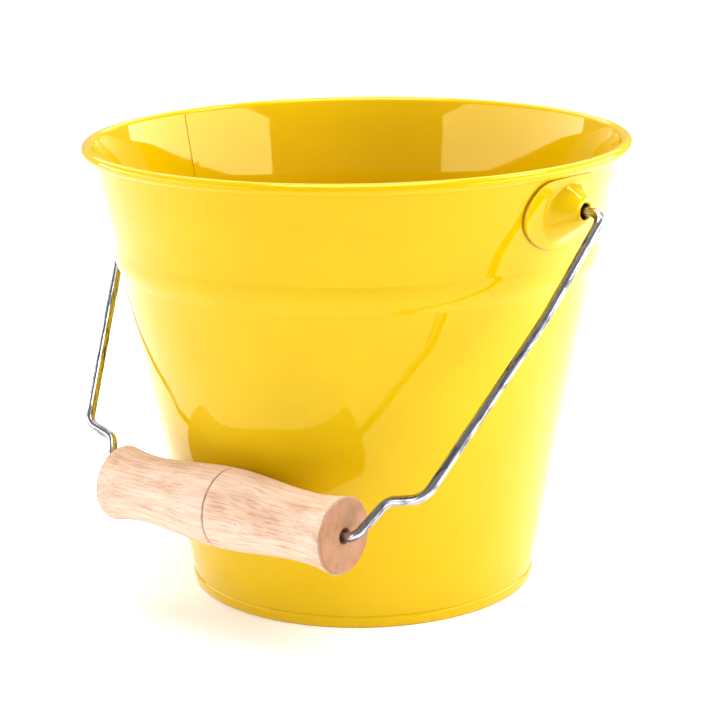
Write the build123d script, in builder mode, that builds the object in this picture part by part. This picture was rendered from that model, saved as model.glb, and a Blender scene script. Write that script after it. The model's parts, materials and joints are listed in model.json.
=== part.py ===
"""Small enamelled steel sand bucket with a swinging wire bail and a turned wooden grip.

Frame: millimetres, +Z up, the foot stands on Z = 0 and the bucket's axis is Z.
The ears stand on +X and -X, and the bail hangs down on the -Y side.
"""

import os
from math import acos, atan, cos, degrees, sin

from build123d import *

# ---- driving dimensions -------------------------------------------------------------------------
RIM_DIAMETER = 160.0  # over the rolled rim
HEIGHT = 133.2  # floor to the top of the rolled rim
SHEET = 0.5  # tinplate of the wall and the base pan
WALL_SLOPE = 0.2  # radius gained for each unit of height

RIM_ROLL_RADIUS = 1.7  # outside of the rolled rim
RIM_ROLL_END = -125.0  # where the roll stops, in degrees round its own centre

BEAD_HEIGHT = 100.0  # height of the swaged ring's middle
BEAD_WIDTH = 9.0
BEAD_RISE = 0.8

FOOT_HEIGHT = 3.4  # the base pan's hem, up the outside of the wall
PAN_RECESS = 4.0  # underside of the pan's floor
SEAM_GAP = 0.04  # between sheets that lie against each other
FOOT_SLACK = 0.3  # under the wall's lower edge, inside the hem
HEM_BEND = 0.5  # bend radius of the hem, to the middle of the sheet

EAR_HEIGHT = 120.2  # height of the bail's pivots
EAR_SHEET = 0.8
EAR_PLATE_WIDTH = 32.0  # round the wall
EAR_PLATE_FALL = 11.4  # from the pivot down to the plate's lower edge
EAR_PLATE_TOP = 129.4  # the plate is cut level just under the rolled rim
EAR_BOSS_RADIUS = 8.9  # where the boss leaves the plate
EAR_TIP_RADIUS = 3.6
EAR_TIP = 82.2  # from the bucket's axis to the outside of the ear's tip
EAR_HOLE_DIAMETER = 4.6

WIRE_DIAMETER = 2.8
BAIL_CORNER = 87.2  # from the bail's middle to the wire's middle in the arm's top corner
BAIL_DROP = 107.0  # from the pivots to the grip's axis, in the bail's plane
BAIL_SLIDE = 1.0  # the loose bail has slid through the ears towards +X
BAIL_SHIFT = 7.5  # and leans further towards +X at the grip
BAIL_TWIST = 3.5  # and has swung round the bucket there, in degrees about Z
HEAD_DIAMETER = 5.4  # the wire's upset end, inside the ear
HEAD_LENGTH = 1.0
HEAD_INSET = 4.6  # from the ear's tip to the head's inner face

GRIP_LENGTH = 81.5
GRIP_END_RADIUS = 11.0
GRIP_WAIST_RADIUS = 9.8
GRIP_MIDDLE_RADIUS = 11.3
GRIP_BORE_DIAMETER = 4.2
GRIP_EDGE = 0.9  # rounding of the grip's end edges
GROOVE_WIDTH = 0.7
GROOVE_DEPTH = 0.5
REST_GAP = 0.4  # between the resting grip and the wall

# ---- worked out ---------------------------------------------------------------------------------
TILT = atan(WALL_SLOPE)  # the wall's lean from upright
ROLL_MID = RIM_ROLL_RADIUS - SHEET / 2
ROLL_CENTRE_R = RIM_DIAMETER / 2 - RIM_ROLL_RADIUS
ROLL_CENTRE_Z = HEIGHT - RIM_ROLL_RADIUS
WALL_TOP_R = ROLL_CENTRE_R - ROLL_MID * cos(TILT)  # middle of the sheet where the roll starts
WALL_TOP_Z = ROLL_CENTRE_Z + ROLL_MID * sin(TILT)
HALF_SKIN = SHEET / 2 / cos(TILT)  # half the sheet, measured level


def wall_mid(z):
    """Radius of the middle of the wall's sheet at height z."""
    return WALL_TOP_R + WALL_SLOPE * (z - WALL_TOP_Z)


def wall_outside(z):
    """Radius of the wall's outer skin at height z."""
    return wall_mid(z) + HALF_SKIN


# The resting bail leans out from upright so that the grip's middle just clears the wall.
REACH = wall_outside(EAR_HEIGHT) + (GRIP_MIDDLE_RADIUS + REST_GAP) / cos(TILT)
REST_ANGLE = TILT + acos(REACH * cos(TILT) / BAIL_DROP)  # below level


def bail_point(across, down):
    """A point of the resting bail: across from its middle, and down from the pivots in its own plane.

    The wire is loose in the ears, so it leans sideways more the further it is from them.
    """
    lean = down / BAIL_DROP
    point = Vector(
        across + BAIL_SLIDE + lean * BAIL_SHIFT,
        -down * cos(REST_ANGLE),
        EAR_HEIGHT - down * sin(REST_ANGLE),
    )
    return point.rotate(Axis.Z, lean * BAIL_TWIST)


os.makedirs("parts", exist_ok=True)

# ---- wall: one rolled sheet with a swaged ring and a rolled rim ---------------------------------
WALL_FOOT_Z = SHEET + FOOT_SLACK
BEAD_LOW = BEAD_HEIGHT - BEAD_WIDTH / 2
BEAD_HIGH = BEAD_HEIGHT + BEAD_WIDTH / 2
ROLL_START = 180 - degrees(TILT)

with BuildPart() as bucket_wall:
    with BuildSketch(Plane.XZ):
        with BuildLine() as middle:
            Line((wall_mid(WALL_FOOT_Z), WALL_FOOT_Z), (wall_mid(BEAD_LOW), BEAD_LOW))
            ThreePointArc(
                (wall_mid(BEAD_LOW), BEAD_LOW),
                (wall_mid(BEAD_HEIGHT) + BEAD_RISE, BEAD_HEIGHT),
                (wall_mid(BEAD_HIGH), BEAD_HIGH),
            )
            Line((wall_mid(BEAD_HIGH), BEAD_HIGH), (WALL_TOP_R, WALL_TOP_Z))
            CenterArc((ROLL_CENTRE_R, ROLL_CENTRE_Z), ROLL_MID, ROLL_START, RIM_ROLL_END - ROLL_START)
        trace(middle.line, SHEET)
    revolve(axis=Axis.Z)
bucket_wall.part.label = "bucket_wall"
export_step(bucket_wall.part, "parts/bucket_wall.step")

# ---- base pan: a recessed floor whose edge wraps round the foot of the wall ---------------------
PAN_OFFSET = HALF_SKIN + SEAM_GAP + SHEET / 2  # from the middle of the wall to the middle of the pan
PAN_FLOOR_Z = PAN_RECESS + SHEET / 2

with BuildPart() as base_pan:
    with BuildSketch(Plane.XZ):
        with BuildLine() as middle:
            FilletPolyline(
                (0, PAN_FLOOR_Z),
                (wall_mid(PAN_FLOOR_Z) - PAN_OFFSET, PAN_FLOOR_Z),
                (wall_mid(SHEET / 2) - PAN_OFFSET, SHEET / 2),
                (wall_mid(SHEET / 2) + PAN_OFFSET, SHEET / 2),
                (wall_mid(FOOT_HEIGHT) + PAN_OFFSET, FOOT_HEIGHT),
                radius=HEM_BEND,
            )
        trace(middle.line, SHEET)
        split(bisect_by=Plane.YZ)
    revolve(axis=Axis.Z)
base_pan.part.label = "base_pan"
export_step(base_pan.part, "parts/base_pan.step")

# ---- ears: round plates bent to the wall, each with a hollow conical boss -----------------------
EAR_BACK = wall_outside(EAR_HEIGHT) + SEAM_GAP
BOSS_FLARE = (EAR_BOSS_RADIUS - EAR_TIP_RADIUS) / (EAR_TIP - EAR_BACK)  # radius lost for each unit out
BOSS_ROOT = 4.0  # the cones start this far inside the wall and are cut back to the plate
SHELL_LOW = EAR_HEIGHT - 2 * EAR_PLATE_FALL
SHELL_HIGH = EAR_HEIGHT + 2 * EAR_PLATE_FALL


def wall_shell(inner, outer):
    """Section of a conical shell beside the wall, between two offsets from its outer skin."""
    return [
        (wall_outside(SHELL_LOW) + inner, SHELL_LOW),
        (wall_outside(SHELL_LOW) + outer, SHELL_LOW),
        (wall_outside(SHELL_HIGH) + outer, SHELL_HIGH),
        (wall_outside(SHELL_HIGH) + inner, SHELL_HIGH),
    ]


for side, name in ((1, "ear_right"), (-1, "ear_left")):
    facing = Plane(origin=(0, 0, EAR_HEIGHT), x_dir=(0, side, 0), z_dir=(side, 0, 0))
    with BuildPart() as ear:
        with BuildSketch(Plane.XZ):
            Polygon(*wall_shell(SEAM_GAP, SEAM_GAP + EAR_SHEET), align=None)
        revolve(axis=Axis.Z)
        with BuildSketch(facing):
            Ellipse(EAR_PLATE_WIDTH / 2, EAR_PLATE_FALL)
            split(bisect_by=Plane.XZ.offset(EAR_HEIGHT - EAR_PLATE_TOP), keep=Keep.TOP)
        extrude(amount=EAR_TIP, mode=Mode.INTERSECT)
        # The boss is a solid cone first, and then a thinner cone is taken out of its back.
        with BuildSketch(facing.offset(EAR_BACK - BOSS_ROOT)):
            Circle(EAR_BOSS_RADIUS + BOSS_FLARE * BOSS_ROOT)
        with BuildSketch(facing.offset(EAR_TIP)):
            Circle(EAR_TIP_RADIUS)
        loft()
        with BuildSketch(Plane.XZ):
            Polygon(*wall_shell(-4 * BOSS_ROOT, SEAM_GAP), align=None)
        revolve(axis=Axis.Z, mode=Mode.SUBTRACT)
        with BuildSketch(facing.offset(EAR_BACK - BOSS_ROOT - EAR_SHEET)):
            Circle(EAR_BOSS_RADIUS + BOSS_FLARE * BOSS_ROOT)
        with BuildSketch(facing.offset(EAR_TIP - EAR_SHEET)):
            Circle(EAR_TIP_RADIUS)
        loft(mode=Mode.SUBTRACT)
        with Locations(facing.offset(EAR_TIP)):
            Hole(EAR_HOLE_DIAMETER / 2, depth=3 * EAR_SHEET)
    ear.part.label = name
    export_step(ear.part, f"parts/{name}.step")

# ---- bail: one wire, upset at both ends, sprung into the ears -----------------------------------
HEAD_END = EAR_TIP - HEAD_INSET
# One arm from the head to the grip: across and down, and the radius of the bend at that point.
ARM = [
    (HEAD_END, 0, None),
    (BAIL_CORNER, 0, 3.4),
    (80.4, 34.0, 70.0),
    (61.5, 92.0, 6.5),
    (50.6, 94.6, 5.0),
    (GRIP_LENGTH / 2 + 3.2, BAIL_DROP, 4.0),
]
route = [bail_point(across, down) for across, down, _ in ARM]
route += [bail_point(-across, down) for across, down, _ in reversed(ARM)]
bend_radii = [bend for _, _, bend in ARM[1:]]
bend_radii += reversed(bend_radii)

with BuildPart() as bail_wire:
    with BuildLine() as path:
        FilletPolyline(*route, radius=bend_radii)
    with BuildSketch(Plane(origin=route[0], z_dir=(1, 0, 0))):
        Circle(WIRE_DIAMETER / 2)
    sweep(path=path.line)
    for side in (1, -1):
        with BuildSketch(Plane(origin=(side * HEAD_END + BAIL_SLIDE, 0, EAR_HEIGHT), z_dir=(side, 0, 0))):
            Circle(HEAD_DIAMETER / 2)
        extrude(amount=HEAD_LENGTH)
bail_wire.part.label = "bail_wire"
export_step(bail_wire.part, "parts/bail_wire.step")

# ---- grip: turned from one piece of beech, free to spin on the wire -----------------------------
GRIP_HALF = GRIP_LENGTH / 2
grip_middle = bail_point(0, BAIL_DROP)
grip_axis = (bail_point(1, BAIL_DROP) - grip_middle).normalized()
lengthwise = Plane(origin=grip_middle, x_dir=grip_axis, z_dir=grip_axis.cross(Vector(0, 0, 1)))

with BuildPart() as grip:
    with BuildSketch(lengthwise):
        with BuildLine():
            Line((-GRIP_HALF, GRIP_BORE_DIAMETER / 2), (-GRIP_HALF, GRIP_END_RADIUS))
            Spline(
                (-GRIP_HALF, GRIP_END_RADIUS),
                (-GRIP_HALF / 2, GRIP_WAIST_RADIUS),
                (0, GRIP_MIDDLE_RADIUS),
                (GRIP_HALF / 2, GRIP_WAIST_RADIUS),
                (GRIP_HALF, GRIP_END_RADIUS),
            )
            Line((GRIP_HALF, GRIP_END_RADIUS), (GRIP_HALF, GRIP_BORE_DIAMETER / 2))
            Line((GRIP_HALF, GRIP_BORE_DIAMETER / 2), (-GRIP_HALF, GRIP_BORE_DIAMETER / 2))
        make_face()
        with Locations((0, GRIP_MIDDLE_RADIUS)):
            Rectangle(GROOVE_WIDTH, 2 * GROOVE_DEPTH, mode=Mode.SUBTRACT)
    revolve(axis=Axis(origin=grip_middle, direction=grip_axis))
    round_edges = grip.edges().filter_by(GeomType.CIRCLE)
    fillet(round_edges.filter_by(lambda edge: edge.radius == GRIP_END_RADIUS), radius=GRIP_EDGE)
grip.part.label = "grip"
export_step(grip.part, "parts/grip.step")

print("bail rests", round(degrees(REST_ANGLE), 2), "degrees below level")
print("grip middle", grip_middle, "axis", grip_axis)
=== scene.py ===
import json
from math import acos, atan, cos, hypot, pi, radians, sin, sqrt, tan

import bpy
from bpy.props import BoolProperty, FloatProperty, FloatVectorProperty, IntProperty, PointerProperty
from mathutils import Matrix, Vector


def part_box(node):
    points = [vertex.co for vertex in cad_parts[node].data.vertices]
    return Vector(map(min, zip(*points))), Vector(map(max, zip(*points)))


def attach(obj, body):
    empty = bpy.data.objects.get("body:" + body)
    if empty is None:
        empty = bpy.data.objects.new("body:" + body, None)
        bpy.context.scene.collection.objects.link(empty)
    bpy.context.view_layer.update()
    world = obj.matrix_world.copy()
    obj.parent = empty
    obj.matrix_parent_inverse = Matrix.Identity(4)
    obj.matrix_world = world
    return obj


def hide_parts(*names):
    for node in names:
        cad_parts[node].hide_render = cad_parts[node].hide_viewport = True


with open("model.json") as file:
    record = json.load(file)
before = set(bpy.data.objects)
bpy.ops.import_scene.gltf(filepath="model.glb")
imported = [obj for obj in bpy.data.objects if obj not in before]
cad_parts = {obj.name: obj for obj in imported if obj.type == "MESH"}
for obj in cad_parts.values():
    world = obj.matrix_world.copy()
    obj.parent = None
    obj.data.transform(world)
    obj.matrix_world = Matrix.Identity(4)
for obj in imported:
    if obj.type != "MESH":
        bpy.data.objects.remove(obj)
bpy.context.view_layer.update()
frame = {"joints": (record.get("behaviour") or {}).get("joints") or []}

bl_info = {
    "name": "Sand Bucket",
    "version": (1, 0, 0),
    "blender": (4, 5, 0),
    "location": "3D View > Sidebar > Sand Bucket",
    "description": "An enamelled sand bucket with a swinging wire bail and a turned wooden grip",
    "category": "Add Mesh",
}

MM = 0.001
UP = Vector((0, 0, 1))

# ---- places that the frame gives ------------------------------------------------------------------
JOINTS = {joint["name"]: joint for joint in frame["joints"]}
WALL_LOW, WALL_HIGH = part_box("bucket_wall")
RIM_RADIUS = WALL_HIGH.x
BUCKET_HEIGHT = WALL_HIGH.z
WALL_FOOT_Z = WALL_LOW.z
EAR_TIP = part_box("ear_right")[1].x
EAR_TOP_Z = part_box("ear_right")[1].z
PIVOT_Z = JOINTS["bail_swing"]["pos_m"][2]
GRIP_MIDDLE = Vector(JOINTS["grip_spin"]["pos_m"])
GRIP_AXIS = Vector(JOINTS["grip_spin"]["axis"]).normalized()


# ---- what a user may change -----------------------------------------------------------------------
def length(name, millimetres, description):
    """A length that a user may change, with its default in millimetres."""
    return FloatProperty(
        name=name,
        description=description,
        default=millimetres * MM,
        min=0.0,
        unit="LENGTH",
        precision=5,
    )


def colour(name, red_green_blue, description):
    """A colour that a user may change, as linear red, green and blue."""
    return FloatVectorProperty(
        name=name,
        description=description,
        default=red_green_blue,
        size=3,
        min=0.0,
        max=1.0,
        subtype="COLOR",
    )


class SheetSettings(bpy.types.PropertyGroup):
    """The pressed steel sheets: the wall, the base pan and the ears."""

    sheet: length("Sheet", 0.5, "Thickness of the tinplate of the wall and the base pan")
    slope: FloatProperty(
        name="Wall slope",
        description="Radius that the wall gains for each unit of height",
        default=0.2,
        min=0.0,
        max=1.0,
    )
    roll_radius: length("Rim roll", 1.7, "Outer radius of the rolled rim")
    roll_end: FloatProperty(
        name="Roll end",
        description="Where the rim's roll stops, round its own centre",
        default=radians(-125),
        subtype="ANGLE",
    )
    bead_height: length("Bead height", 100.0, "Height of the swaged ring's middle")
    bead_width: length("Bead width", 9.0, "Width of the swaged ring")
    bead_rise: length("Bead rise", 0.8, "How far the swaged ring stands out of the wall")
    hem_height: length("Hem height", 3.4, "How far the base pan's hem comes up the wall")
    hem_bend: length("Hem bend", 0.5, "Bend radius of the hem, to the middle of the sheet")
    shoulder: length("Hem shoulder", 1.3, "How far down the hem's rounded upper edge reaches")
    pan_recess: length("Pan recess", 4.0, "Height of the pan's underside above the floor")
    seam_gap: length("Seam gap", 0.04, "Gap between sheets that lie against each other")
    lap_width: length("Lap width", 3.2, "Width of the welded lap down the inside of the wall")
    lap_rise: length("Lap rise", 0.22, "How far the welded lap stands in from the wall")
    ear_sheet: length("Ear sheet", 0.8, "Thickness of the ears' sheet")
    ear_width: length("Ear width", 32.0, "Width of an ear's plate, round the wall")
    ear_fall: length("Ear fall", 11.4, "From the pivot down to the lower edge of an ear's plate")
    boss_radius: length("Boss radius", 8.9, "Radius of an ear's boss where it leaves the plate")
    tip_radius: length("Tip radius", 3.6, "Radius of an ear's boss at its tip")
    hole_diameter: length("Ear hole", 4.6, "Diameter of the hole for the wire")
    enamel: colour("Enamel", (0.65, 0.41, 0.0), "Colour of the enamel")
    # Pooled enamel, and also the painted shade in the creases, at the hem's foot and round the ears.
    pooled_enamel_and_crease_shade: colour("Pooled enamel", (0.38, 0.17, 0.0), "Colour of the enamel where it pools in a seam")
    gloss: FloatProperty(
        name="Roughness",
        description="Roughness of the enamel's surface",
        default=0.035,
        min=0.0,
        max=1.0,
        subtype="FACTOR",
    )


class BailSettings(bpy.types.PropertyGroup):
    """The wire bail."""

    wire_diameter: length("Wire", 2.8, "Diameter of the wire")
    corner: length("Corner", 87.2, "From the bail's middle to the wire's middle in an arm's top corner")
    drop: length("Drop", 107.0, "From the pivots to the grip's axis, in the bail's plane")
    slide: length("Slide", 1.0, "How far the loose bail has slid through the ears")
    shift: length("Shift", 7.5, "How much further it leans sideways at the grip")
    twist: FloatProperty(
        name="Twist",
        description="How far the loose bail has swung round the bucket at the grip",
        default=radians(3.5),
        subtype="ANGLE",
    )
    head_diameter: length("Head", 5.4, "Diameter of the wire's upset ends")
    head_length: length("Head length", 1.0, "Thickness of the wire's upset ends")
    head_inset: length("Head inset", 4.6, "From an ear's tip to the head's inner face")
    zinc: colour("Zinc", (0.50, 0.50, 0.52), "Colour of the zinc plate")
    zinc_dull: colour("Dull zinc", (0.035, 0.034, 0.04), "Colour of the zinc plate where it is stained")


class GripSettings(bpy.types.PropertyGroup):
    """The turned wooden grip."""

    size: length("Length", 81.5, "Length of the grip")
    end_radius: length("End radius", 11.0, "Radius at the ends")
    waist_radius: length("Waist radius", 9.8, "Radius at the two waists")
    middle_radius: length("Middle radius", 11.3, "Radius in the middle")
    bore_diameter: length("Bore", 4.2, "Diameter of the bore for the wire")
    edge: length("Edge", 0.9, "Rounding of the end edges")
    groove_width: length("Groove width", 0.7, "Width of the groove round the middle")
    groove_depth: length("Groove depth", 0.5, "Depth of the groove round the middle")
    rest_gap: length("Rest gap", 0.4, "Between the resting grip and the wall")
    beech: colour("Beech", (0.72, 0.53, 0.415), "Colour of the pale wood")
    beech_dark: colour("Beech, late wood", (0.48, 0.26, 0.145), "Colour of the darker grain")
    beech_end: colour("Beech, end grain", (0.37, 0.165, 0.07), "Colour of the end grain")
    # The scorched colour also paints the shade inside the bore.
    scorched: colour("Scorched groove", (0.16, 0.06, 0.022), "Colour in the groove and the pores")


class StageSettings(bpy.types.PropertyGroup):
    """The floor, the light and the camera."""

    floor: colour("Floor", (0.95, 0.95, 0.95), "Colour of the floor")
    surround: FloatProperty(
        name="Surround",
        description="Brightness of the white surroundings",
        default=0.36,
        min=0.0,
    )
    softbox: FloatProperty(
        name="Softboxes",
        description="Brightness of the softboxes, which each have their own share of it",
        default=5.0,
        min=0.0,
    )
    lens: FloatProperty(
        name="Lens",
        description="Focal length of the camera, in millimetres on a 36 mm sensor",
        default=113.1,
        min=1.0,
    )
    azimuth: FloatProperty(
        name="Azimuth",
        description="Direction of the camera round the bucket, from -Y towards +X",
        default=radians(41.5),
        subtype="ANGLE",
    )
    elevation: FloatProperty(
        name="Elevation",
        description="Height of the camera above the horizon",
        default=radians(14.82),
        subtype="ANGLE",
    )
    distance: length("Distance", 676.7, "From the camera to the point that it looks at")
    aim_height: length("Aim height", 65.4, "Height of the point that the camera looks at")
    roll: FloatProperty(
        name="Roll",
        description="Turn of the camera about its own axis",
        default=radians(-0.9),
        subtype="ANGLE",
    )


class SandBucketSettings(bpy.types.PropertyGroup):
    """Everything that a user may change."""

    steel: PointerProperty(type=SheetSettings)
    bail: PointerProperty(type=BailSettings)
    grip: PointerProperty(type=GripSettings)
    stage: PointerProperty(type=StageSettings)


def steel():
    """The settings of the steel sheets."""
    return bpy.context.scene.sand_bucket.steel


def bail():
    """The settings of the bail."""
    return bpy.context.scene.sand_bucket.bail


def grip():
    """The settings of the grip."""
    return bpy.context.scene.sand_bucket.grip


def stage():
    """The settings of the stage."""
    return bpy.context.scene.sand_bucket.stage


# ---- the shapes that several pieces share ---------------------------------------------------------
def tilt():
    """The wall's lean from upright."""
    return atan(steel().slope)


def roll_middle():
    """Radius of the middle of the sheet in the rim's roll, and the roll's centre as radius and height."""
    outer = steel().roll_radius
    return outer - steel().sheet / 2, RIM_RADIUS - outer, BUCKET_HEIGHT - outer


def wall_top():
    """Radius and height of the middle of the wall's sheet where the roll starts."""
    middle, centre_r, centre_z = roll_middle()
    return centre_r - middle * cos(tilt()), centre_z + middle * sin(tilt())


def wall_mid(z):
    """Radius of the middle of the wall's sheet at height z."""
    top_r, top_z = wall_top()
    return top_r + steel().slope * (z - top_z)


def half_skin():
    """Half of the wall's sheet, measured level."""
    return steel().sheet / 2 / cos(tilt())


def wall_outside(z):
    """Radius of the wall's outer skin at height z."""
    return wall_mid(z) + half_skin()


def arc(centre, radius, start, end, steps):
    """Points (across, up) of an arc in a profile, both ends included."""
    turns = [start + (end - start) * step / steps for step in range(steps + 1)]
    return [(centre[0] + radius * cos(turn), centre[1] + radius * sin(turn)) for turn in turns]


# ---- modelling steps ------------------------------------------------------------------------------
def start_ring(name, centre, radius, steps, turned=(0, 0, 0)):
    """Adds a ring of edges and leaves it selected in edit mode."""
    bpy.ops.object.select_all(action="DESELECT")
    bpy.ops.mesh.primitive_circle_add(vertices=steps, radius=radius, location=centre, rotation=turned)
    piece = bpy.context.object
    piece.name = name
    piece.data.name = name
    bpy.ops.object.transform_apply(location=True, rotation=True, scale=True)
    bpy.ops.object.mode_set(mode="EDIT")
    bpy.ops.mesh.select_mode(type="VERT")
    bpy.ops.mesh.select_all(action="SELECT")
    return piece


def draw_ring(shift, scale, centre):
    """Extrudes the selected ring by shift and scales it about centre. A scale of 0 closes it there."""
    bpy.ops.mesh.extrude_edges_move(TRANSFORM_OT_translate={"value": shift})
    if scale:
        bpy.ops.transform.resize(value=(scale, scale, scale), center_override=centre)
    else:
        bpy.ops.mesh.merge(type="CENTER")


def turn_profile(name, profile, steps):
    """Draws a ring along a profile of (radius, height) about the Z axis, as a spinner works a sheet."""
    (radius, height), *rest = profile
    piece = start_ring(name, (0, 0, height), radius, steps)
    for next_radius, next_height in rest:
        draw_ring((0, 0, next_height - height), next_radius / radius, (0, 0, next_height))
        radius, height = next_radius, next_height
    return piece


def close_mesh():
    """Merges doubles and turns the faces outwards, on all of the mesh in edit mode."""
    bpy.ops.mesh.select_all(action="SELECT")
    bpy.ops.mesh.remove_doubles(threshold=0.002 * MM)
    bpy.ops.mesh.normals_make_consistent(inside=False)
    bpy.ops.object.mode_set(mode="OBJECT")


def apply_modifier(piece, kind, **settings):
    """Adds a modifier with those settings and applies it."""
    modifier = piece.modifiers.new(kind.title(), kind)
    for setting, value in settings.items():
        setattr(modifier, setting, value)
    bpy.ops.object.modifier_apply(modifier=modifier.name)


def thicken(piece, sheet):
    """Gives a surface the thickness of its sheet, half to each side."""
    apply_modifier(piece, "SOLIDIFY", thickness=sheet, offset=0, use_even_offset=True, use_rim=True)


def smooth(piece, angle):
    """Shades a piece smooth, apart from edges sharper than angle in degrees."""
    bpy.ops.object.select_all(action="DESELECT")
    piece.select_set(True)
    bpy.context.view_layer.objects.active = piece
    bpy.ops.object.shade_smooth_by_angle(angle=radians(angle))


def hand_over(piece, finish, body, node):
    """Gives a finished piece its material, and says what it rides on and stands for."""
    piece.data.materials.clear()
    piece.data.materials.append(finish)
    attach(piece, body)
    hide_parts(node)


# ---- material writing -----------------------------------------------------------------------------
class Value:
    """A number that varies over a surface. Python's arithmetic on it adds Math nodes."""

    def __init__(self, recipe, socket):
        self.recipe = recipe
        self.socket = socket

    def math(self, operation, *others):
        """Adds a Math node that works on this value and the others."""
        inputs = dict(enumerate((self, *others)))
        return self.recipe.node("ShaderNodeMath", {"operation": operation}, inputs).out(0)

    def __add__(self, other):
        return self.math("ADD", other)

    def __sub__(self, other):
        return self.math("SUBTRACT", other)

    def __rsub__(self, other):
        return self.recipe.node("ShaderNodeMath", {"operation": "SUBTRACT"}, {0: other, 1: self}).out(0)

    def __mul__(self, other):
        return self.math("MULTIPLY", other)

    def __truediv__(self, other):
        return self.math("DIVIDE", other)

    def __pow__(self, other):
        return self.math("POWER", other)

    def __abs__(self):
        return self.math("ABSOLUTE")

    __radd__ = __add__
    __rmul__ = __mul__

    def root(self):
        """Square root."""
        return self.math("SQRT")

    def least(self, other):
        """The lower of two values."""
        return self.math("MINIMUM", other)

    def most(self, other):
        """The higher of two values."""
        return self.math("MAXIMUM", other)

    def ramp(self, low, high):
        """From 0 at low to 1 at high, eased, and level outside them. Low may be the larger."""
        inputs = {"Value": self, "From Min": low, "From Max": high}
        settings = {"interpolation_type": "SMOOTHSTEP", "clamp": True}
        return self.recipe.node("ShaderNodeMapRange", settings, inputs).out("Result")


class Node:
    """A node of a recipe."""

    def __init__(self, recipe, node):
        self.recipe = recipe
        self.node = node

    def out(self, key):
        """One of the node's outputs, by its name or place."""
        return Value(self.recipe, find_socket(self.node.outputs, key))


def find_socket(sockets, key):
    """A socket by its place, its identifier or its name."""
    if isinstance(key, int):
        return sockets[key]
    for socket in sockets:
        if socket.identifier == key:
            return socket
    return sockets[key]


class Recipe:
    """One material and the nodes that it is made of."""

    def __init__(self, name):
        self.material = bpy.data.materials.new(name)
        self.material.use_nodes = True
        self.tree = self.material.node_tree
        self.tree.nodes.clear()
        self.place = self.node("ShaderNodeTexCoord").out("Object")

    def node(self, kind, settings=None, inputs=None):
        """Adds a node: its settings first, and then the values or links of its sockets."""
        made = self.tree.nodes.new(kind)
        for name, value in (settings or {}).items():
            if name == "stops":
                self.set_stops(made.color_ramp, value)
            else:
                setattr(made, name, value)
        for key, value in (inputs or {}).items():
            socket = find_socket(made.inputs, key)
            if isinstance(value, Value):
                self.tree.links.new(value.socket, socket)
            else:
                socket.default_value = value
        return Node(self, made)

    def set_stops(self, ramp, stops):
        """Sets a colour ramp's stops from pairs of place and colour."""
        while len(ramp.elements) < len(stops):
            ramp.elements.new(0.5)
        for element, (place, shade) in zip(ramp.elements, stops):
            element.position = place
            element.color = (*shade, 1.0)

    def parts(self, vector=None):
        """The x, y and z of a place."""
        made = self.node("ShaderNodeSeparateXYZ", None, {"Vector": vector or self.place})
        return made.out("X"), made.out("Y"), made.out("Z")

    def mapped(self, vector, location=(0, 0, 0), rotation=(0, 0, 0), scale=(1, 1, 1), kind="POINT"):
        """A place that is moved, turned and stretched."""
        inputs = {"Vector": vector, "Location": location, "Rotation": rotation, "Scale": scale}
        return self.node("ShaderNodeMapping", {"vector_type": kind}, inputs).out("Vector")

    def grain(self, vector, along, across, detail=2.0, roughness=0.5, distortion=0.0):
        """Noise with so many patches to the metre along X and across it."""
        stretched = self.mapped(vector, scale=(along, across, across))
        return self.noise(stretched, 1.0, detail, roughness, distortion)

    def noise(self, vector, per_metre, detail=2.0, roughness=0.5, distortion=0.0):
        """Soft noise about 0.5."""
        inputs = {
            "Vector": vector,
            "Scale": per_metre,
            "Detail": detail,
            "Roughness": roughness,
            "Distortion": distortion,
        }
        return self.node("ShaderNodeTexNoise", None, inputs).out("Fac")

    def mix(self, factor, first, second):
        """Mixes two colours."""
        inputs = {"Factor_Float": factor, "A_Color": solid(first), "B_Color": solid(second)}
        return self.node("ShaderNodeMix", {"data_type": "RGBA"}, inputs).out("Result_Color")

    def bump(self, height, distance, normal=None):
        """A normal from a height between 0 and 1 that stands for distance in metres."""
        inputs = {"Height": height, "Distance": distance, "Strength": 1.0}
        if normal:
            inputs["Normal"] = normal
        return self.node("ShaderNodeBump", None, inputs).out("Normal")

    def surface(self, inputs):
        """Ends the recipe with a Principled shader, and returns the material."""
        shader = self.node("ShaderNodeBsdfPrincipled", None, inputs).out("BSDF")
        self.node("ShaderNodeOutputMaterial", {"target": "ALL"}, {"Surface": shader})
        return self.material


def solid(shade):
    """A colour with its alpha, or a link as it is."""
    return shade if isinstance(shade, Value) else (*shade, 1.0)


# ---- enamel ---------------------------------------------------------------------------------------
def enamel(name, pool_and_shade_mask):
    """Glossy enamel. The mask function gives where it looks darker: pooled enamel, and painted shade in
    creases, at the foot and round the ears.
    """
    recipe = Recipe(name)
    cloud = recipe.noise(recipe.place, 28, 3)
    pale = [channel * 1.03 for channel in steel().enamel]
    deep = [channel * 0.955 for channel in steel().enamel]
    shade = recipe.mix(cloud.ramp(0.3, 0.7), deep, pale)
    # Darkens by the mask: pooled enamel, and painted shade in creases and at the foot.
    shade = recipe.mix(pool_and_shade_mask(recipe), shade, steel().pooled_enamel_and_crease_shade)
    sheet_waves = recipe.noise(recipe.place, 26, 1)
    waved = recipe.bump(sheet_waves, 0.10 * MM)
    orange_peel = recipe.noise(recipe.place, 420, 2)
    normal = recipe.bump(orange_peel, 0.004 * MM, normal=waved)
    roughness = recipe.noise(recipe.place, 90, 2).ramp(0.25, 0.75) * 0.02 + steel().gloss
    # The tint keeps reflections that are seen square on in the enamel's own yellow.
    return recipe.surface({
        "Base Color": shade,
        "Roughness": roughness,
        "IOR": 1.5,
        "Specular Tint": (1.0, 0.9, 0.35, 1.0),
        "Normal": normal,
    })


def oval_share(round_wall, height):
    """Distance from an ear's middle, as a share of the way to its plate's oval edge."""
    wide = round_wall / (steel().ear_width / 2)
    high = (height - PIVOT_Z) / steel().ear_fall
    return (wide * wide + high * high).root()


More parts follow.
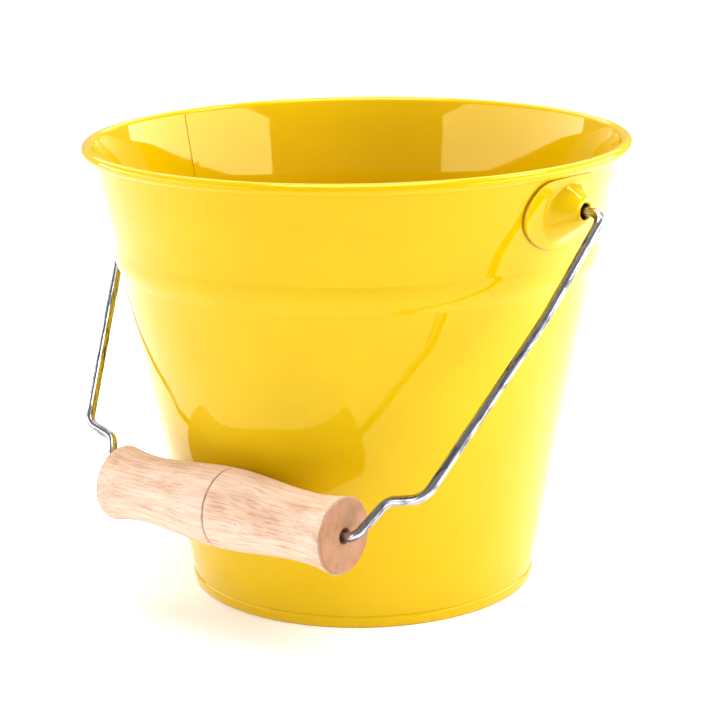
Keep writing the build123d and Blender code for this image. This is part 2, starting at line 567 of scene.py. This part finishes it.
def wall_pool_and_crease_shade(recipe):
    """Darker enamel in the crease over the hem and in the crease round each ear's plate: pooled enamel and
    painted crease shade.
    """
    across, round_wall, height = recipe.parts()
    wander = recipe.noise(recipe.place, 130, 2) - 0.5
    crease = steel().hem_height + 0.12 * MM
    over_hem = abs(height - crease - wander * (0.9 * MM)).ramp(0.32 * MM, 0.10 * MM)
    from_axis = (across * across + round_wall * round_wall).root()
    outside = (from_axis - height * steel().slope).ramp(wall_mid(0), wall_mid(0) + half_skin())
    from_plate = oval_share(round_wall, height) - 1.0
    beside_ear = abs(across).ramp(60 * MM, 61 * MM)
    round_ear = abs(from_plate - wander * 0.02).ramp(0.026, 0.008) * beside_ear
    under_rim = height.ramp(EAR_TOP_Z - 0.6 * MM, EAR_TOP_Z - 2.4 * MM)
    return (over_hem * 0.25).most(round_ear * under_rim * 0.7) * outside


def pan_foot_shade(recipe):
    """Painted shade on the hem's lower corner, by the floor."""
    _, _, height = recipe.parts()
    wander = recipe.noise(recipe.place, 130, 2) - 0.5
    return (height - wander * (0.3 * MM)).ramp(0.42 * MM, 0.06 * MM) * 0.7


def ear_pool_and_edge_shade(recipe):
    """Darker enamel along the edge of an ear's plate and round its hole: pooled enamel and painted shade.
    """
    _, round_wall, height = recipe.parts()
    edge = oval_share(round_wall, height).ramp(0.972, 0.995)
    rise = height - PIVOT_Z
    from_hole = (round_wall * round_wall + rise * rise).root()
    lip = from_hole.ramp(steel().hole_diameter / 2 + 0.25 * MM, steel().hole_diameter / 2)
    return (edge * 0.45).most(lip * 0.9)


# ---- zinc and beech -------------------------------------------------------------------------------
def zinc_plate(name):
    """Bright zinc plate over drawn wire: fine lines along the wire, and soft stains."""
    recipe = Recipe(name)
    unbent = recipe.node("ShaderNodeAttribute", {"attribute_name": "unbent"}).out("Vector")
    lines = recipe.grain(unbent, 60, 2600, 3, 0.6)
    stains = recipe.grain(unbent, 200, 800, 4, 0.68, 0.3)
    spots = recipe.noise(unbent, 1500, 2, 0.6)
    dull = (stains.ramp(0.47, 0.63) * 0.65 + lines.ramp(0.50, 0.64) * 0.6).least(1.0)
    shade = recipe.mix(dull, bail().zinc, bail().zinc_dull)
    roughness = dull * 0.20 + spots * 0.10 + 0.10
    height = lines * 0.6 + stains * 0.6 + spots * 0.25
    return recipe.surface({
        "Base Color": shade,
        "Metallic": 1.0,
        "Roughness": roughness,
        "Normal": recipe.bump(height, 0.03 * MM),
    })


def turned_beech(name, place, turned):
    """Sanded beech: growth rings about a pith beside the grip, short pores, and a scorched groove."""
    recipe = Recipe(name)
    centred = recipe.mapped(recipe.place, location=place, rotation=turned, kind="TEXTURE")
    along, across, up = recipe.parts(centred)
    # The log's pith runs nearly parallel to the grip, a few grip's widths away.
    bend = recipe.grain(centred, 14, 40, 2)
    sway = recipe.grain(centred, 30, 190, 3)
    pith_y = across + 26 * MM + along * 0.05
    pith_z = up - 13 * MM + along * 0.03
    from_pith = (pith_y * pith_y + pith_z * pith_z).root() + bend * (5 * MM) + sway * (0.7 * MM)
    ring = (from_pith * (2 * pi / (1.9 * MM))).math("SINE") * 0.5 + 0.5
    late = (ring ** 1.6) * 0.20
    fibres = recipe.grain(centred, 70, 2300, 3, 0.62)
    flecks = recipe.grain(centred, 560, 2700, 2, 0.55)
    cloud = recipe.grain(centred, 60, 130, 3)
    dark = (late + fibres.ramp(0.40, 0.70) * 0.50 + cloud.ramp(0.42, 0.70) * 0.50).least(1.0)
    wood = recipe.mix(dark, grip().beech, grip().beech_dark)
    at_end = abs(along).ramp(grip().size / 2 - 0.35 * MM, grip().size / 2 - 0.05 * MM)
    wood = recipe.mix(at_end * (fibres * 0.3 + 0.75), wood, grip().beech_end)
    pores = flecks.ramp(0.64, 0.72)
    wood = recipe.mix(pores * 0.28, wood, grip().scorched)
    # The groove is scorched by the turner's wire, unevenly, and the end edges are a little darker.
    waver = recipe.grain(centred, 150, 330, 2) - 0.5
    in_groove = abs(along - waver * (0.6 * MM)).ramp(0.42 * MM, 0.12 * MM)
    edge_place = grip().size / 2 - grip().edge * 0.45
    at_edge = abs(abs(along) - edge_place - waver * (0.5 * MM)).ramp(0.55 * MM, 0.15 * MM)
    radius = (across * across + up * up).root()
    # Painted shade inside the bore and round its mouth, where the wire passes through.
    in_bore = radius.ramp(grip().bore_diameter / 2 + 0.5 * MM, grip().bore_diameter / 2)
    faded = waver.ramp(-0.12, 0.14) * 0.5 + 0.15
    scorch_and_bore_shade = (in_groove * faded).most(at_edge * 0.5).most(in_bore * 0.8)
    wood = recipe.mix(scorch_and_bore_shade, wood, grip().scorched)
    grain_height = fibres * 0.5 + flecks * 0.3 + ring * 0.2 - pores * 0.8
    return recipe.surface({
        "Base Color": wood,
        "Roughness": fibres * 0.12 + 0.48,
        "Specular IOR Level": 0.35,
        "Normal": recipe.bump(grain_height, 0.07 * MM),
    })


def plain_floor(name):
    """Matt pale floor with a trace of unevenness, faintly lit from below as a light table is."""
    recipe = Recipe(name)
    pale = stage().floor
    shaded = [channel * 0.99 for channel in pale]
    shade = recipe.mix(recipe.noise(recipe.place, 3, 2), shaded, pale)
    return recipe.surface({
        "Base Color": shade,
        "Roughness": 0.9,
        "Specular IOR Level": 0.2,
        "Emission Color": (1.0, 1.0, 1.0, 1.0),
        "Emission Strength": 0.16,
    })


# ---- bucket wall ----------------------------------------------------------------------------------
LAP_TURN = radians(5)  # the welded lap stands this far round from the left ear, towards +Y
LAP_FOOT_Z = 6 * MM  # and starts above the pan
LAP_BELOW_TOP = 1.5 * MM  # and stops short of the rolled rim


class SANDBUCKET_OT_bucket_wall(bpy.types.Operator):
    """Draw the wall up from its foot through the swaged ring to the rolled rim."""

    bl_idname = "sand_bucket.bucket_wall"
    bl_label = "Bucket wall"
    bl_options = {"REGISTER", "UNDO"}

    steps: IntProperty(name="Steps round", description="Edges round the wall", default=192, min=24)

    def profile(self):
        """The middle of the sheet as (radius, height), from the foot to the end of the roll."""
        sheet = steel()
        middle, centre_r, centre_z = roll_middle()
        half_bead = sheet.bead_width / 2
        bead_low = sheet.bead_height - half_bead
        bead_high = sheet.bead_height + half_bead
        heights = [WALL_FOOT_Z + (bead_low - WALL_FOOT_Z) * step / 10 for step in range(10)]
        points = [(wall_mid(z), z) for z in heights]
        for step in range(17):
            share = step / 8 - 1
            z = sheet.bead_height + half_bead * share
            # The power eases the ring's two edges into the wall.
            rise = sheet.bead_rise * (1 - share * share) ** 1.35
            points.append((wall_mid(z) + rise, z))
        _, top_z = wall_top()
        heights = [bead_high + (top_z - bead_high) * step / 4 for step in (1, 2, 3)]
        points += [(wall_mid(z), z) for z in heights]
        points += arc((centre_r, centre_z), middle, pi - tilt(), sheet.roll_end, 30)
        return points

    def raise_lap(self, piece):
        """Raises the welded lap as a narrow strip down the inside of the wall, near the left ear."""
        sheet = steel()
        bpy.ops.object.mode_set(mode="EDIT")
        bpy.ops.mesh.select_mode(type="FACE")
        bpy.ops.mesh.select_all(action="DESELECT")
        bpy.ops.object.mode_set(mode="OBJECT")
        lap = Vector((-cos(LAP_TURN), sin(LAP_TURN), 0))
        side = UP.cross(lap)
        _, top_z = wall_top()
        for face in piece.data.polygons:
            middle = face.center
            facing_in = face.normal.dot(lap) < -0.7
            in_strip = abs(middle.dot(side)) < sheet.lap_width / 2 and middle.dot(lap) > 0
            face.select = facing_in and in_strip and LAP_FOOT_Z < middle.z < top_z - LAP_BELOW_TOP
        bpy.ops.object.mode_set(mode="EDIT")
        bpy.ops.mesh.extrude_region_shrink_fatten(
            TRANSFORM_OT_shrink_fatten={"value": sheet.lap_rise}
        )
        bpy.ops.object.mode_set(mode="OBJECT")

    def execute(self, context):
        piece = turn_profile("bucket_wall_sheet", self.profile(), self.steps)
        close_mesh()
        thicken(piece, steel().sheet)
        self.raise_lap(piece)
        smooth(piece, 35)
        hand_over(piece, enamel("enamel_wall", wall_pool_and_crease_shade), "bucket", "bucket_wall")
        return {"FINISHED"}


# ---- base pan -------------------------------------------------------------------------------------
class SANDBUCKET_OT_base_pan(bpy.types.Operator):
    """Draw the base pan from its hem round the foot of the wall to the middle of its floor."""

    bl_idname = "sand_bucket.base_pan"
    bl_label = "Base pan"
    bl_options = {"REGISTER", "UNDO"}

    steps: IntProperty(name="Steps round", description="Edges round the pan", default=192, min=24)

    def profile(self):
        """The middle of the sheet as (radius, height), from the hem's edge to the pan's middle."""
        sheet = steel()
        half = sheet.sheet / 2
        off_wall = half_skin() + sheet.seam_gap + half
        floor_z = sheet.pan_recess + half
        corners = [
            Vector((wall_mid(sheet.hem_height) + off_wall, sheet.hem_height)),
            Vector((wall_mid(half) + off_wall, half)),
            Vector((wall_mid(half) - off_wall, half)),
            Vector((wall_mid(floor_z) - off_wall, floor_z)),
            Vector((0, floor_z)),
        ]
        points = []
        for step in range(9):
            z = sheet.hem_height - sheet.shoulder * (1 - cos(pi / 18 * step))
            points.append((wall_mid(z) + off_wall, z))
        for before, corner, after in zip(corners, corners[1:], corners[2:]):
            points += rounded_corner(before, corner, after, sheet.hem_bend, 6)
        inner = points[-1][0]
        points += [(inner * share, floor_z) for share in (0.9, 0.7, 0.45, 0.2, 0.05)]
        points.append((0, floor_z))
        return points

    def round_shoulder(self, piece):
        """Rounds the hem's upper edge in towards the wall, as the enamel leaves it."""
        sheet = steel()
        start = sheet.hem_height - sheet.shoulder
        for vertex in piece.data.vertices:
            radius = hypot(vertex.co.x, vertex.co.y)
            against = wall_outside(vertex.co.z) + sheet.seam_gap
            stand = radius - against
            rise = (vertex.co.z + sheet.sheet / 2 * sin(tilt()) - start) / sheet.shoulder
            on_outer_skin = stand > sheet.sheet * 0.6
            if on_outer_skin and rise > 0:
                kept = max(0.15, sqrt(max(0.0, 1 - rise * rise)))
                vertex.co.xy *= (against + stand * kept) / radius

    def execute(self, context):
        piece = turn_profile("base_pan_sheet", self.profile(), self.steps)
        close_mesh()
        thicken(piece, steel().sheet)
        self.round_shoulder(piece)
        smooth(piece, 50)
        hand_over(piece, enamel("enamel_pan", pan_foot_shade), "bucket", "base_pan")
        return {"FINISHED"}


def rounded_corner(before, corner, after, radius, steps):
    """Points of the arc of that radius that rounds a corner of a flat profile."""
    back = (before - corner).normalized()
    on = (after - corner).normalized()
    half_turn = back.angle(on) / 2
    centre = corner + (back + on).normalized() * (radius / sin(half_turn))
    start = corner + back * (radius / tan(half_turn)) - centre
    end = corner + on * (radius / tan(half_turn)) - centre
    spokes = [start.slerp(end, step / steps).normalized() for step in range(steps + 1)]
    return [tuple(centre + spoke * radius) for spoke in spokes]


# ---- ears -----------------------------------------------------------------------------------------
TIP_FILLET = 0.45 * MM
BOSS_FILLET = 0.5 * MM
ROUND_REACH = 7.2 * MM  # the rings are round this far from the pivot, and then turn into the plate's oval
ROUND_RINGS = 12
OVAL_RINGS = 12


class SANDBUCKET_OT_ears(bpy.types.Operator):
    """Press the two ears: a round plate bent to the wall with a hollow conical boss."""

    bl_idname = "sand_bucket.ears"
    bl_label = "Ears"
    bl_options = {"REGISTER", "UNDO"}

    steps: IntProperty(name="Steps round", description="Edges round an ear", default=96, min=24)

    def plate_reach(self, turn):
        """From the pivot to the middle of the plate's edge, in the direction turn from level."""
        sheet = steel()
        wide = sheet.ear_width / 2
        reach = wide * sheet.ear_fall / hypot(sheet.ear_fall * cos(turn), wide * sin(turn))
        top = EAR_TOP_Z - PIVOT_Z
        nearly_level = sin(turn) <= 0.05
        if nearly_level:
            return reach
        # The plate is cut level under the rim. The higher the power, the sharper its two corners.
        cut = top / sin(turn)
        power = 14
        return (reach ** -power + cut ** -power) ** (-1 / power)

    def surface(self, along, height):
        """How far out the middle of the pressed sheet stands, for a place round the wall and a height."""
        sheet = steel()
        half = sheet.ear_sheet / 2
        radius = wall_outside(height) + sheet.seam_gap + half / cos(tilt())
        plate = sqrt(radius * radius - along * along)
        from_pivot = hypot(along, height - PIVOT_Z)
        flare = (EAR_TIP - wall_outside(PIVOT_Z)) / (sheet.boss_radius - sheet.tip_radius)
        tip = EAR_TIP - half
        cone = tip + (sheet.tip_radius - half / 2 - from_pivot) * flare
        boss = -soft_most(-cone, -tip, TIP_FILLET)
        return soft_most(boss, plate, BOSS_FILLET)

    def press(self, piece):
        """Moves the flat rings to the plate's outline, and presses them out to the ear's surface."""
        for index, vertex in enumerate(piece.data.vertices):
            along = vertex.co.y
            rise = vertex.co.z - PIVOT_Z
            oval_ring = index // self.steps - ROUND_RINGS
            if oval_ring > 0:
                turn = acos(along / hypot(along, rise)) * (1 if rise >= 0 else -1)
                reach = ROUND_REACH + (self.plate_reach(turn) - ROUND_REACH) * oval_ring / OVAL_RINGS
                along, rise = reach * cos(turn), reach * sin(turn)
            height = PIVOT_Z + rise
            vertex.co = (self.surface(along, height), along, height)

    def execute(self, context):
        pivot = (0, 0, PIVOT_Z)
        hole = steel().hole_diameter / 2
        piece = start_ring("ear_right_pressing", pivot, hole, self.steps, (pi / 2, 0, pi / 2))
        radius = hole
        for ring in range(ROUND_RINGS):
            next_radius = hole + (ROUND_REACH - hole) * (ring + 1) / ROUND_RINGS
            draw_ring((0, 0, 0), next_radius / radius, pivot)
            radius = next_radius
        for ring in range(OVAL_RINGS):
            draw_ring((0, 0, 0), 1.05, pivot)
        close_mesh()
        self.press(piece)
        bpy.ops.object.mode_set(mode="EDIT")
        close_mesh()
        thicken(piece, steel().ear_sheet)
        rounding = {"width": 0.22 * MM, "segments": 3, "limit_method": "ANGLE", "angle_limit": radians(60)}
        apply_modifier(piece, "BEVEL", **rounding)
        smooth(piece, 40)
        finish = enamel("enamel_ears", ear_pool_and_edge_shade)
        bpy.ops.object.duplicate(linked=False)
        other = bpy.context.object
        other.name = "ear_left_pressing"
        other.data.name = "ear_left_pressing"
        bpy.ops.transform.rotate(value=pi, orient_axis="Z", center_override=(0, 0, 0))
        bpy.ops.object.transform_apply(location=True, rotation=True, scale=True)
        hand_over(piece, finish, "bucket", "ear_right")
        hand_over(other, finish, "bucket", "ear_left")
        return {"FINISHED"}


def soft_most(first, second, blend):
    """The larger of two lengths, with a fillet of about that size where they cross."""
    half = (first - second) / 2
    return (first + second) / 2 + sqrt(half * half + blend * blend)


# ---- bail -----------------------------------------------------------------------------------------
class Wire:
    """A wire that is drawn out straight and bent round, one step after the other."""

    def __init__(self, name, end, heading, radius, around):
        self.end = end
        self.heading = heading
        self.radius = radius
        self.drawn = 0.0
        self.lengths = [0.0]
        self.piece = start_ring(name, end, radius, around, heading.to_track_quat("Z", "Y").to_euler())

    def draw(self, distance, radius=None):
        """Draws the wire straight on, and swells or narrows it to radius."""
        self.end = self.end + self.heading * distance
        scale = (radius or self.radius) / self.radius
        draw_ring(self.heading * distance, scale, self.end)
        self.radius = radius or self.radius
        self.drawn += distance
        self.lengths.append(self.drawn)

    def bend(self, new_heading, radius):
        """Bends the wire round to a new heading with that bend radius at its middle line."""
        angle = self.heading.angle(new_heading)
        axis = self.heading.cross(new_heading).normalized()
        centre = self.end + axis.cross(self.heading) * radius
        steps = max(2, round(angle / radians(5)))
        bpy.ops.mesh.spin(steps=steps, angle=-angle, center=centre, axis=axis)
        self.end = centre + Matrix.Rotation(angle, 3, axis) @ (self.end - centre)
        self.heading = new_heading
        for _ in range(steps):
            self.drawn += angle * radius / steps
            self.lengths.append(self.drawn)

    def follow(self, route, radii):
        """Follows the route's corners, each rounded with its own bend radius."""
        for corner, after, radius in zip(route, route[1:], radii):
            new_heading = (after - corner).normalized()
            tangent = radius * tan(self.heading.angle(new_heading) / 2)
            self.draw((corner - self.end).length - tangent)
            self.bend(new_heading, radius)


class SANDBUCKET_OT_bail_wire(bpy.types.Operator):
    """Bend the bail from one wire, upset at both ends inside the ears."""

    bl_idname = "sand_bucket.bail_wire"
    bl_label = "Bail wire"
    bl_options = {"REGISTER", "UNDO"}

    around: IntProperty(name="Steps round", description="Edges round the wire", default=28, min=8)

    def route(self):
        """The corners of the resting bail from the right head to the left one, and their bend radii."""
        # Each row is across from the bail's middle, down from the pivots in its own plane, and the bend.
        arm = [
            (EAR_TIP - bail().head_inset, 0, None),
            (bail().corner, 0, 3.4 * MM),
            (80.4 * MM, 34 * MM, 70 * MM),
            (61.5 * MM, 92 * MM, 6.5 * MM),
            (50.6 * MM, 94.6 * MM, 5 * MM),
            (grip().size / 2 + 3.2 * MM, bail().drop, 4 * MM),
        ]
        corners = [bail_point(across, down) for across, down, _ in arm]
        corners += [bail_point(-across, down) for across, down, _ in reversed(arm)]
        radii = [radius for _, _, radius in arm[1:]]
        return corners, radii + radii[::-1]

    def execute(self, context):
        wire = bail().wire_diameter / 2
        head = bail().head_diameter / 2
        upset = bail().head_length
        corners, radii = self.route()
        run = Wire("bail_wire_bent", corners[0], Vector((1, 0, 0)), head * 0.7, self.around)
        # The upset head's shares of its own length and of its radius.
        for share, size in ((0.12, 0.9), (0.18, 1.0), (0.4, 1.0), (0.2, 0.9)):
            run.draw(share * upset, head * size)
        run.draw(0.1 * upset, wire)
        run.follow(corners[1:], radii)
        run.draw((corners[-1] - run.end).length - upset)
        for share, size in ((0.1, 0.9), (0.2, 1.0), (0.4, 1.0), (0.18, 0.9), (0.12, 0.7)):
            run.draw(share * upset, head * size)
        piece = run.piece
        bpy.ops.mesh.select_all(action="SELECT")
        bpy.ops.mesh.fill_holes(sides=0)
        bpy.ops.mesh.select_all(action="SELECT")
        bpy.ops.mesh.normals_make_consistent(inside=False)
        bpy.ops.object.mode_set(mode="OBJECT")
        self.keep_unbent(piece, run)
        smooth(piece, 50)
        hand_over(piece, zinc_plate("zinc_plate"), "bail", "bail_wire")
        return {"FINISHED"}

    def keep_unbent(self, piece, run):
        """Keeps, on each vertex, where it was on the straight wire, for lines drawn along it."""
        count = len(piece.data.vertices)
        if count != len(run.lengths) * self.around:
            raise RuntimeError(f"the wire has {count} vertices, not {len(run.lengths)} rings")
        unbent = piece.data.attributes.new("unbent", "FLOAT_VECTOR", "POINT")
        wire = bail().wire_diameter / 2
        for index in range(count):
            ring, step = divmod(index, self.around)
            turn = 2 * pi * step / self.around
            unbent.data[index].vector = (run.lengths[ring], wire * cos(turn), wire * sin(turn))


def rest_angle():
    """How far the resting bail hangs below level: its grip's middle just clears the wall."""
    clearance = grip().middle_radius + grip().rest_gap
    reach = wall_outside(PIVOT_Z) + clearance / cos(tilt())
    return tilt() + acos(reach * cos(tilt()) / bail().drop)


def bail_point(across, down):
    """A point of the resting bail. The loose wire leans sideways more the further it is from the ears."""
    lean = down / bail().drop
    angle = rest_angle()
    sideways = bail().slide + lean * bail().shift
    point = Vector((across + sideways, -down * cos(angle), PIVOT_Z - down * sin(angle)))
    return Matrix.Rotation(lean * bail().twist, 3, "Z") @ point


# ---- grip -----------------------------------------------------------------------------------------
class SANDBUCKET_OT_grip(bpy.types.Operator):
    """Turn the grip: two waists, a scorched groove round the middle, and a bore for the wire."""

    bl_idname = "sand_bucket.grip"
    bl_label = "Grip"
    bl_options = {"REGISTER", "UNDO"}

    steps: IntProperty(name="Steps round", description="Edges round the grip", default=128, min=24)

    def radius_at(self, along):
        """Radius of the grip without its groove: a cubic, level in the middle, through waist and end."""
        share = abs(along) / (grip().size / 2)
        to_waist = grip().waist_radius - grip().middle_radius
        to_end = grip().end_radius - grip().middle_radius
        bend = (8 * to_waist - to_end) * share ** 2 + (2 * to_end - 8 * to_waist) * share ** 3
        return grip().middle_radius + bend

    def half_profile(self):
        """From the bore's mouth over the end and along to the middle, as (radius, distance from middle)."""
        end = grip().size / 2
        edge = grip().edge
        bore = grip().bore_diameter / 2
        mouth = [(0, 0.5 * MM), (0.15 * MM, 0.12 * MM), (0.45 * MM, 0)]
        points = [(bore + out, end - inward) for out, inward in mouth]
        points += [(bore + (grip().end_radius - edge - bore) * share, end) for share in (0.35, 0.7)]
        last = end - edge
        points += arc((self.radius_at(last) - edge, last), edge, pi / 2, 0, 8)
        groove = grip().groove_width / 2
        beside_groove = groove * 2.4
        for step in range(1, 26):
            along = last + (beside_groove - last) * step / 25
            points.append((self.radius_at(along), along))
        for step in range(7):
            share = 1 - step / 6
            along = groove * 1.25 * share
            depth = grip().groove_depth * 0.5 * (1 + cos(pi * share))
            points.append((self.radius_at(along) - depth, along))
        return points

    def execute(self, context):
        half = self.half_profile()
        other_half = [(radius, -along) for radius, along in reversed(half[:-1])]
        profile = half + other_half
        profile.append(half[0])
        piece = turn_profile("grip_turned", profile, self.steps)
        close_mesh()
        piece.matrix_world = grip_placing()
        bpy.ops.object.transform_apply(location=True, rotation=True, scale=True)
        smooth(piece, 40)
        turned = GRIP_AXIS.to_track_quat("X", "Z").to_euler()
        finish = turned_beech("turned_beech", GRIP_MIDDLE, turned)
        hand_over(piece, finish, "grip", "grip")
        return {"FINISHED"}


def grip_placing():
    """The grip is turned about Z at the origin, and this puts it on the wire."""
    return Matrix.Translation(GRIP_MIDDLE) @ GRIP_AXIS.to_track_quat("Z", "Y").to_matrix().to_4x4()


# ---- stage ----------------------------------------------------------------------------------------
# Name, degrees round from the camera, degrees above level, distance, width, height, and brightness
# as a share of the stage's.
SOFTBOXES = (
    ("softbox_left", -86, 15, 0.8, 1.4, 0.28, 0.88),
    ("softbox_right", 86, 15, 0.8, 1.4, 0.28, 1.3),
    ("softbox_over_right", 95, 52, 1.0, 0.26, 0.26, 2.4),
    ("softbox_above", 0, 85, 1.3, 0.9, 0.9, 1.6),
    ("softbox_behind", 180, 42, 2.6, 3.4, 2.0, 0.3),
)


class SANDBUCKET_OT_stage(bpy.types.Operator):
    """Lay the floor, and set up the light and the camera."""

    bl_idname = "sand_bucket.stage"
    bl_label = "Stage"
    bl_options = {"REGISTER", "UNDO"}

    with_floor: BoolProperty(name="Floor", description="Lay the pale floor", default=True)

    def lay_floor(self):
        """A wide pale floor."""
        bpy.ops.object.select_all(action="DESELECT")
        bpy.ops.mesh.primitive_plane_add(size=12)
        floor = bpy.context.object
        floor.name = "floor"
        floor.data.materials.append(plain_floor("floor"))

    def light_surroundings(self):
        """White surroundings of even brightness."""
        world = bpy.data.worlds.new("surroundings")
        world.use_nodes = True
        background = world.node_tree.nodes["Background"]
        background.inputs["Color"].default_value = (1, 1, 1, 1)
        background.inputs["Strength"].default_value = stage().surround
        bpy.context.scene.world = world

    def add_softbox(self, name, turn, rise, distance, width, height, share):
        """A rectangular light that faces the bucket, turn round from the camera and rise above level."""
        way = direction(stage().azimuth + radians(turn), radians(rise))
        place = Vector((0, 0, stage().aim_height)) + way * distance
        bpy.ops.object.select_all(action="DESELECT")
        bpy.ops.object.light_add(type="AREA", location=place)
        light = bpy.context.object
        light.name = name
        light.rotation_euler = way.to_track_quat("Z", "Y").to_euler()
        light.data.shape = "RECTANGLE"
        light.data.size = width
        light.data.size_y = height
        light.data.energy = stage().softbox * share * pi * width * height

    def set_camera(self):
        """The camera, which looks at the bucket's axis."""
        back = direction(stage().azimuth, stage().elevation)
        place = Vector((0, 0, stage().aim_height)) + back * stage().distance
        bpy.ops.object.camera_add(location=place)
        camera = bpy.context.object
        camera.name = "camera"
        level = back.to_track_quat("Z", "Y").to_matrix()
        camera.rotation_euler = (level @ Matrix.Rotation(stage().roll, 3, "Z")).to_euler()
        camera.data.lens = stage().lens
        camera.data.sensor_width = 36
        camera.data.clip_start = 0.01
        camera.data.clip_end = 50
        bpy.context.scene.camera = camera

    def execute(self, context):
        if self.with_floor:
            self.lay_floor()
        self.light_surroundings()
        for softbox in SOFTBOXES:
            self.add_softbox(*softbox)
        self.set_camera()
        bpy.context.scene.view_settings.view_transform = "Standard"
        return {"FINISHED"}


def direction(turn, rise):
    """The unit vector that points turn round from -Y towards +X, and rise above level."""
    return Vector((sin(turn) * cos(rise), -cos(turn) * cos(rise), sin(rise)))


# ---- panel and registering ------------------------------------------------------------------------
PIECES = (
    SANDBUCKET_OT_bucket_wall,
    SANDBUCKET_OT_base_pan,
    SANDBUCKET_OT_ears,
    SANDBUCKET_OT_bail_wire,
    SANDBUCKET_OT_grip,
    SANDBUCKET_OT_stage,
)


class SANDBUCKET_PT_panel(bpy.types.Panel):
    """The sand bucket's pieces and settings."""

    bl_idname = "SANDBUCKET_PT_panel"
    bl_label = "Sand Bucket"
    bl_space_type = "VIEW_3D"
    bl_region_type = "UI"
    bl_category = "Sand Bucket"

    def draw(self, context):
        column = self.layout.column(align=True)
        for operator in PIECES:
            column.operator(operator.bl_idname)
        settings = context.scene.sand_bucket
        for group in (settings.steel, settings.bail, settings.grip, settings.stage):
            box = self.layout.box()
            for name in group.__annotations__:
                box.prop(group, name)


CLASSES = (
    SheetSettings,
    BailSettings,
    GripSettings,
    StageSettings,
    SandBucketSettings,
    *PIECES,
    SANDBUCKET_PT_panel,
)


def register():
    for registered in CLASSES:
        bpy.utils.register_class(registered)
    bpy.types.Scene.sand_bucket = PointerProperty(type=SandBucketSettings)


def unregister():
    del bpy.types.Scene.sand_bucket
    for registered in reversed(CLASSES):
        bpy.utils.unregister_class(registered)


def main():
    """Registers the add-on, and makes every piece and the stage."""
    register()
    bpy.ops.sand_bucket.bucket_wall()
    bpy.ops.sand_bucket.base_pan()
    bpy.ops.sand_bucket.ears()
    bpy.ops.sand_bucket.bail_wire()
    bpy.ops.sand_bucket.grip()
    bpy.ops.sand_bucket.stage()


if __name__ == "__main__":
    main()
